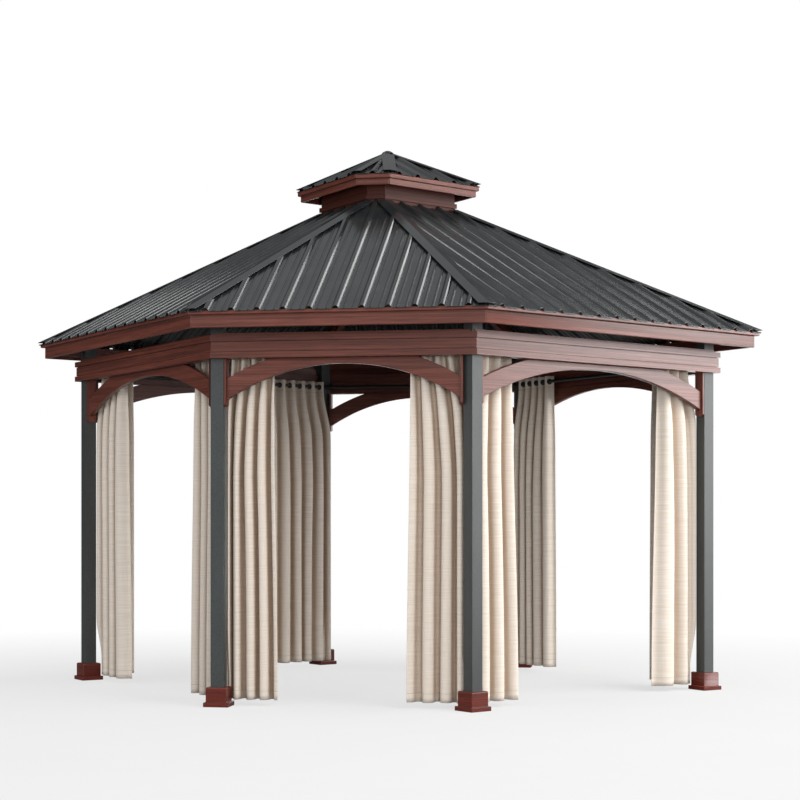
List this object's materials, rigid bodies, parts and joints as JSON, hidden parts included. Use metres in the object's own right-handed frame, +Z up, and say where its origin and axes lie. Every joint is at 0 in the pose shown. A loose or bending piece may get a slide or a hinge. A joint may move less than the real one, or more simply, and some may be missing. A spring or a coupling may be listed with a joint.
{
  "type": "metal gazebo",
  "caption": "Open gazebo with a two-tier ribbed metal hip roof on square posts, wood-look beams and arches, and gathered curtains on rods.",
  "frame": {"origin": "middle of the plan, on the floor under the posts' foot plates", "axes": "+X runs from the left end post to the right end post, -Y faces the front bay, +Z is up"},
  "size_m": [5.0816, 3.626, 3.6869],
  "materials": {
    "roof_metal": "charcoal satin paint on ribbed sheet",
    "wood_look_metal": "red-brown wood-grain print on folded metal",
    "base_cover_metal": "darker red-brown wood-grain print",
    "post_metal": "dark grey fine-textured powder coat",
    "rod_metal": "near-black satin paint",
    "curtain_cloth": "cream woven polyester with a linen look"
  },
  "bodies": {
    "root": {"post_left": "post_metal", "post_front_left": "post_metal", "post_front_right": "post_metal", "post_right": "post_metal", "post_back_right": "post_metal", "post_back_left": "post_metal", "post_base_covers": "base_cover_metal", "beam_front_left": "wood_look_metal", "beam_front": "wood_look_metal", "beam_front_right": "wood_look_metal", "beam_back_right": "wood_look_metal", "beam_back": "wood_look_metal", "beam_back_left": "wood_look_metal", "arch_front_left": "wood_look_metal", "arch_front": "wood_look_metal", "arch_front_right": "wood_look_metal", "arch_back_right": "wood_look_metal", "arch_back": "wood_look_metal", "arch_back_left": "wood_look_metal", "arch_cleats": "wood_look_metal", "curtain_rods": "rod_metal", "eave_boards": "wood_look_metal", "hip_rafters": "wood_look_metal", "crown_ring": "post_metal", "roof_front_left": "roof_metal", "roof_front": "roof_metal", "roof_front_right": "roof_metal", "roof_back_right": "roof_metal", "roof_back": "roof_metal", "roof_back_left": "roof_metal", "hip_caps": "roof_metal", "cupola_walls": "wood_look_metal", "cupola_eave_boards": "wood_look_metal", "cupola_roof_sheets": "roof_metal", "cupola_hip_caps": "roof_metal", "curtain_front_left_a": "curtain_cloth", "curtain_front_left_b": "curtain_cloth", "curtain_front_a": "curtain_cloth", "curtain_front_b": "curtain_cloth", "curtain_front_right_a": "curtain_cloth", "curtain_front_right_b": "curtain_cloth", "curtain_back_right_a": "curtain_cloth", "curtain_back_right_b": "curtain_cloth", "curtain_back_left_a": "curtain_cloth", "curtain_back_left_b": "curtain_cloth"}
  },
  "joints": []
}
